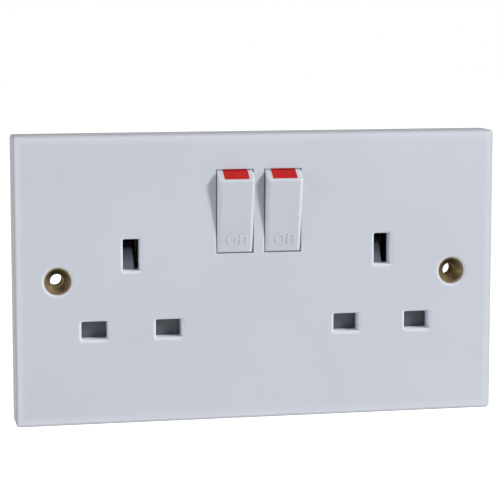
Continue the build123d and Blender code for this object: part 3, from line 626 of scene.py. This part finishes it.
class SOCKET_OT_plate(bpy.types.Operator):
    """Gives the front plate its moulded white finish, with painted light on its aperture walls, a
    painted highlight near its front edges and painted shade on its outer edge faces.
    """

    bl_idname = "socket_outlet.plate"
    bl_label = "Dress the front plate"

    def execute(self, context):
        colour = colour_of(context.scene.socket_plastics.plate)
        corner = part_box("front_plate")[1]
        outline = {"Half Width": corner[0], "Half Height": corner[2]}
        # Painted light: surfaces turned from the front, chiefly the aperture walls and their
        # rounding, are lightened
        lit_mouths = {"Facing": (0.0, -1.0, 0.0), "Reach": 1.2}
        # Painted highlight in a band that grows towards the plate's outline, from 3 mm to 1.2 mm in
        highlit_border = {**outline, "Start": 3.0 * MM, "End": 1.2 * MM}
        # Painted shade on the outermost 0.9 mm of the plate, its outer edge faces
        shaded_sides = {**outline, "Start": 0.9 * MM, "End": 0.3 * MM}
        bands = [
            ("turned_away", lit_mouths, shade(colour, PAINTED_MOUTH_LIGHT)),
            ("rim", highlit_border, shade(colour, PAINTED_BORDER_HIGHLIGHT)),
            ("rim", shaded_sides, shade(colour, PAINTED_SIDE_SHADE)),
        ]
        finish = white_plastic(
            "plate_moulding", colour, gloss=0.55, glow_depth=1.2 * MM, bands=bands
        )
        dress(finish, "front_plate")
        return {"FINISHED"}


class SOCKET_OT_rockers(bpy.types.Operator):
    """Gives the rockers, with painted light on their rounded edges, and their coloured slips their
    finishes, and makes the words' finish.
    """

    bl_idname = "socket_outlet.rockers"
    bl_label = "Dress the rockers"

    def execute(self, context):
        colours = context.scene.socket_plastics
        colour = colour_of(colours.rocker)
        out = rocker_axes("left")[1]
        # Painted light: the rockers' rounded edges and end caps, turned from the face, are
        # lightened
        rounded = ("turned_away", {"Facing": out, "Reach": 3.0}, shade(colour, PAINTED_ROCKER_EDGE_LIGHT))
        white = white_plastic(
            "rocker_moulding", colour, gloss=0.45, glow_depth=1.0 * MM, bands=[rounded]
        )
        white_plastic(
            "word_moulding", shade(colour, WORD_SHADE), gloss=0.45, glow_depth=0.3 * MM
        )
        red = plastic(
            "flag_moulding",
            colour_of(colours.flag),
            drift=0.8,
            gloss=0.4,
            **{"Specular IOR Level": 0.2},
        )
        dress(white, *each_side("rocker"))
        dress(red, *each_side("on_flag"))
        return {"FINISHED"}


class SOCKET_OT_words(bpy.types.Operator):
    """Makes the word that stands out at the lower end of each rocker."""

    bl_idname = "socket_outlet.words"
    bl_label = "Make the words"

    def execute(self, context):
        settings = context.scene.socket_word
        finish = bpy.data.materials["word_moulding"]
        across = Vector((1, 0, 0))
        for side in SIDES:
            up, out = rocker_axes(side)
            centre = (
                Vector(JOINTS[f"rocker_{side}_swing"]["pos_m"])
                + out * settings.face_height
                - up * settings.drop
                + across * settings.shift
            )
            turn = Matrix((across, up, out)).transposed().to_4x4()
            word = self.letters(context, f"on_word_{side}", settings)
            word.data.transform(Matrix.Translation(centre) @ turn)
            word.data.materials.append(finish)
            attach(word, f"switch_{side}")
        return {"FINISHED"}

    def letters(self, context, name, settings):
        """The word as a mesh about the origin, as wide as set and sunk a little at its back."""
        curve = bpy.data.curves.new(name + "_outline", "FONT")
        curve.body = settings.text
        curve.extrude = LETTER_THICKNESS
        curve.offset = -settings.thinning
        curve.bevel_depth = LETTER_ROUNDING
        curve.bevel_resolution = 2
        outline = bpy.data.objects.new(name + "_outline", curve)
        context.collection.objects.link(outline)
        context.view_layer.update()
        evaluated = outline.evaluated_get(context.evaluated_depsgraph_get())
        mesh = bpy.data.meshes.new_from_object(evaluated)
        bpy.data.objects.remove(outline)
        corners = [[vertex.co[axis] for vertex in mesh.vertices] for axis in range(3)]
        low = Vector([min(part) for part in corners])
        high = Vector([max(part) for part in corners])
        size = high - low
        scale = (
            settings.width / size.x,
            settings.height / size.y,
            2 * settings.relief / size.z,
            1,
        )
        mesh.transform(Matrix.Translation(-(low + high) / 2))
        mesh.transform(Matrix.Diagonal(scale))
        word = bpy.data.objects.new(name, mesh)
        context.collection.objects.link(word)
        return word


class SOCKET_OT_shutters(bpy.types.Operator):
    """Gives the shutters behind the apertures their dull grey finish, with painted highlights on
    their edges and painted light and shade up their ramps.
    """

    bl_idname = "socket_outlet.shutters"
    bl_label = "Dress the shutters"

    def execute(self, context):
        colour = colour_of(context.scene.socket_plastics.shutter)
        # Painted highlight along the shutters' edges
        bands = [("edge_band", {}, shade(colour, PAINTED_SHUTTER_EDGE_HIGHLIGHT))]
        # Painted light up the ramp, and painted shade at its top
        for low, high, factor in PAINTED_RAMP_LIGHT_AND_SHADE:
            bands.append(("height_band", {"Low": low, "High": high}, shade(colour, factor)))
        finish = plastic("shutter_moulding", colour, drift=0.85, gloss=0.45, bands=bands)
        dress(finish, *each_side("shutter"))
        return {"FINISHED"}


class SOCKET_OT_housing(bpy.types.Operator):
    """Gives the rear housing, with a painted highlight along its edges, and the plungers their
    finishes.
    """

    bl_idname = "socket_outlet.housing"
    bl_label = "Dress the housing"

    def execute(self, context):
        colours = context.scene.socket_plastics
        colour = colour_of(colours.housing)
        black = plastic(
            "housing_moulding",
            colour,
            drift=1.25,
            gloss=0.5,
            grain=1600.0,
            depth=COARSE_GRAIN,
            # Painted highlight along the housing's edges
            bands=[("edge_band", {}, shade(colour, PAINTED_HOUSING_EDGE_HIGHLIGHT))],
        )
        nylon = plastic("plunger_nylon", colour_of(colours.plunger), drift=0.9, gloss=0.38)
        dress(black, "rear_housing")
        dress(nylon, *each_side("plunger"))
        return {"FINISHED"}


class SOCKET_OT_metalwork(bpy.types.Operator):
    """Gives eyelets, contacts, bars, terminals, springs, straps and screws their metals."""

    bl_idname = "socket_outlet.metalwork"
    bl_label = "Dress the metalwork"

    def execute(self, context):
        colours = context.scene.socket_metals
        self.eyelets(colour_of(colours.eyelet))
        self.brasses(colour_of(colours.brass))
        self.bars_and_tips(colour_of(colours.copper), colour_of(colours.silver))
        self.steels(colour_of(colours.steel))
        return {"FINISHED"}

    def eyelets(self, colour):
        """Brass with patches of tarnish; painted shade darkens every wall of the countersink but
        the one that faces the key lamp, and the far end of the bore.
        """
        # Painted shade: every surface turned from the wall that faces the key lamp is darkened
        lit_wall = {"Facing": (0.6, -0.707, 0.37), "Reach": 2.1}
        eyelet = metal(
            "eyelet_brass",
            colour,
            shade(colour, 0.2),
            tarnish=0.45,
            gloss=0.3,
            # Painted shade in the far end of the bore
            far_shade=1.0,
            bands=[("turned_away", lit_wall, shade(colour, PAINTED_EYELET_WALL_SHADE))],
            **{
                "Metallic": 0.8,
                "Specular IOR Level": 0.2,
                "Specular Tint": shade(colour, 1.8),
            },
        )
        dress(eyelet, *each_side("fixing_eyelet"))

    def brasses(self, colour):
        """The contacts, in brass darkened with painted shade for where they lie behind the
        apertures, and the brighter terminals.
        """
        contact = metal(
            "contact_brass",
            # Painted shade: the contacts' brass is halved for the shade behind the apertures
            shade(colour, 0.5),
            shade(colour, 0.15),
            tarnish=0.6,
            gloss=0.3,
            streaks=(FINE, LONG, LONG),
        )
        terminal = metal(
            "terminal_brass", shade(colour, 0.9), shade(colour, 0.45), tarnish=0.6, gloss=0.33
        )
        dress(contact, *each_side("live_contact", "neutral_contact", "earth_contact"))
        dress(terminal, "live_terminal", "neutral_terminal", "earth_terminal")

    def bars_and_tips(self, copper, silver):
        """The copper bars with the rocking strips, and the silver tips on them."""
        bar = metal(
            "bar_copper",
            copper,
            shade(copper, 0.45),
            tarnish=0.6,
            gloss=0.32,
            streaks=(LONG, LONG, 4500.0),
        )
        tip = metal("tip_silver", silver, shade(silver, 0.6), tarnish=0.4, gloss=0.25)
        dress(bar, "live_bar", "neutral_bar", "earth_bar", *each_side("moving_contact"))
        dress(tip, *each_side("moving_tip", "fixed_tip"))

    def steels(self, colour):
        """Springs, straps and screws."""
        spring = metal(
            "spring_steel", shade(colour, 0.8), shade(colour, 0.4), tarnish=0.4, gloss=0.28
        )
        strap = metal(
            "strap_steel",
            shade(colour, 1.15),
            shade(colour, 0.7),
            tarnish=0.4,
            gloss=0.34,
            streaks=(LONG, FINE, FINE),
        )
        screw = metal(
            "screw_steel",
            colour,
            shade(colour, 0.5),
            tarnish=0.5,
            gloss=0.3,
            streaks=(2500.0, LONG, 2500.0),
        )
        dress(spring, *each_side("plunger_spring", "shutter_spring"))
        dress(strap, *each_side("earth_strap"))
        dress(screw, "terminal_screws", "housing_screws")


class SOCKET_OT_springs(bpy.types.Operator):
    """Makes whole copies of the springs in place of the CAD springs, each fixed to its joint's
    parent body.
    """

    bl_idname = "socket_outlet.springs"
    bl_label = "Make the springs"

    def execute(self, context):
        for side in SIDES:
            self.coil(context, f"plunger_spring_{side}", f"plunger_{side}_press")
            self.coil(context, f"shutter_spring_{side}", f"shutter_{side}_slide")
        return {"FINISHED"}

    def coil(self, context, name, joint_name):
        """One spring copied whole in its node's place and fixed to its joint's parent body."""
        node = frame["nodes"][name]
        joint = JOINTS[joint_name]
        spring = bpy.data.objects.new(f"{name}_coil", node.data.copy())
        context.collection.objects.link(spring)
        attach(spring, joint["parent"])
        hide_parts(name)
        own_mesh(spring)


class SOCKET_OT_stage(bpy.types.Operator):
    """Sets the camera, the lamps, the white surroundings and the floor."""

    bl_idname = "socket_outlet.stage"
    bl_label = "Set the stage"

    def execute(self, context):
        settings = context.scene.socket_stage
        scene = context.scene
        scene.view_settings.view_transform = "Standard"
        self.camera(scene, settings)
        self.lamp(scene, "key_lamp", settings.key, KEY_PLACE, KEY_SIZE)
        self.lamp(scene, "fill_lamp", settings.fill, FILL_PLACE, FILL_SIZE)
        self.surroundings(scene, settings.ambient)
        self.floor(scene, settings.floor_drop)
        return {"FINISHED"}

    def camera(self, scene, settings):
        """The camera at the photograph's viewing angle."""
        back = Vector(
            (
                -math.sin(settings.yaw) * math.cos(settings.pitch),
                -math.cos(settings.yaw) * math.cos(settings.pitch),
                math.sin(settings.pitch),
            )
        )
        data = bpy.data.cameras.new("camera")
        data.lens = settings.lens
        data.sensor_width = SENSOR_WIDTH
        data.clip_start = NEAR_CLIP
        data.clip_end = FAR_CLIP
        camera = bpy.data.objects.new("camera", data)
        camera.location = CAMERA_TARGET + back * settings.distance
        camera.rotation_euler = (-back).to_track_quat("-Z", "Y").to_euler()
        scene.collection.objects.link(camera)
        scene.camera = camera

    def lamp(self, scene, name, power, place, size):
        """A soft square lamp turned to the object."""
        data = bpy.data.lights.new(name, "AREA")
        data.energy = power
        data.size = size
        lamp = bpy.data.objects.new(name, data)
        lamp.location = place
        lamp.rotation_euler = Vector(place).to_track_quat("Z", "Y").to_euler()
        scene.collection.objects.link(lamp)

    def seen(self, tree):
        """One for rays that show the surroundings, from the eye or by way of gloss and glass."""
        path = tree.nodes.new("ShaderNodeLightPath").outputs
        shown = math_node(tree, "ADD", path["Is Camera Ray"], path["Is Glossy Ray"])
        return clamped(tree, math_node(tree, "ADD", shown, path["Is Transmission Ray"]))

    def surroundings(self, scene, ambient):
        """White where it is seen, and an even soft light elsewhere."""
        world = bpy.data.worlds.new("surroundings")
        world.use_nodes = True
        tree = world.node_tree
        tree.nodes.clear()
        soft = add(tree, "ShaderNodeBackground", {"Color": SOFT_WHITE, "Strength": ambient})
        white = add(tree, "ShaderNodeBackground", {"Color": WHITE, "Strength": 1.0})
        mixed = add(
            tree,
            "ShaderNodeMixShader",
            {"Fac": self.seen(tree), 1: soft.outputs[0], 2: white.outputs[0]},
        )
        add(tree, "ShaderNodeOutputWorld", {"Surface": mixed.outputs[0]})
        scene.world = world

    def floor(self, scene, drop):
        """A wide pale floor well below the plate, which keeps the shadow that falls on it."""
        turns = ((-1, -1), (1, -1), (1, 1), (-1, 1))
        corners = [(FLOOR_REACH * x, FLOOR_REACH * y, -drop) for x, y in turns]
        mesh = bpy.data.meshes.new("floor")
        mesh.from_pydata(corners, [], [(0, 1, 2, 3)])
        floor = bpy.data.objects.new("floor", mesh)
        scene.collection.objects.link(floor)
        material, tree, shader = blank_material(
            "floor_white", {"Specular IOR Level": 0.0, "Emission Color": WHITE}
        )
        mottle = noise(tree, own_place(tree), scale=3.0)
        mottle = spread(tree, mottle, 0.0, 1.0, *FLOOR_TONES)
        tone = add(
            tree, "ShaderNodeCombineColor", {"Red": mottle, "Green": mottle, "Blue": mottle}
        )
        glow = math_node(tree, "MULTIPLY", self.seen(tree), FLOOR_GLOW)
        tree.links.new(tone.outputs[0], shader.inputs["Base Color"])
        tree.links.new(glow, shader.inputs["Emission Strength"])
        floor.data.materials.append(material)


class SOCKET_PT_looks(bpy.types.Panel):
    """Lists the settings and the steps that dress the socket outlet."""

    bl_idname = "SOCKET_PT_looks"
    bl_label = "Socket outlet"
    bl_space_type = "VIEW_3D"
    bl_region_type = "UI"
    bl_category = "Socket"

    def draw(self, context):
        for name in SETTINGS:
            box = self.layout.box()
            group = getattr(context.scene, name)
            for setting in group.bl_rna.properties:
                if setting.identifier not in ("rna_type", "name"):
                    box.prop(group, setting.identifier)
        for step in STEPS:
            self.layout.operator(step.bl_idname)


SETTINGS = {
    "socket_plastics": SocketPlastics,
    "socket_metals": SocketMetals,
    "socket_word": SocketWord,
    "socket_stage": SocketStage,
}
STEPS = (
    SOCKET_OT_plate,
    SOCKET_OT_rockers,
    SOCKET_OT_words,
    SOCKET_OT_shutters,
    SOCKET_OT_housing,
    SOCKET_OT_metalwork,
    SOCKET_OT_springs,
    SOCKET_OT_stage,
)
CLASSES = (*SETTINGS.values(), *STEPS, SOCKET_PT_looks)


def register():
    """Registers the settings, the steps and the panel."""
    for made in CLASSES:
        bpy.utils.register_class(made)
    for name, made in SETTINGS.items():
        setattr(bpy.types.Scene, name, bpy.props.PointerProperty(type=made))


def unregister():
    """Takes the settings, the steps and the panel out again."""
    for name in SETTINGS:
        delattr(bpy.types.Scene, name)
    for made in reversed(CLASSES):
        bpy.utils.unregister_class(made)


def main():
    """Takes every step in order."""
    register()
    for step in STEPS:
        group, name = step.bl_idname.split(".")
        getattr(getattr(bpy.ops, group), name)()


if __name__ == "__main__":
    main()
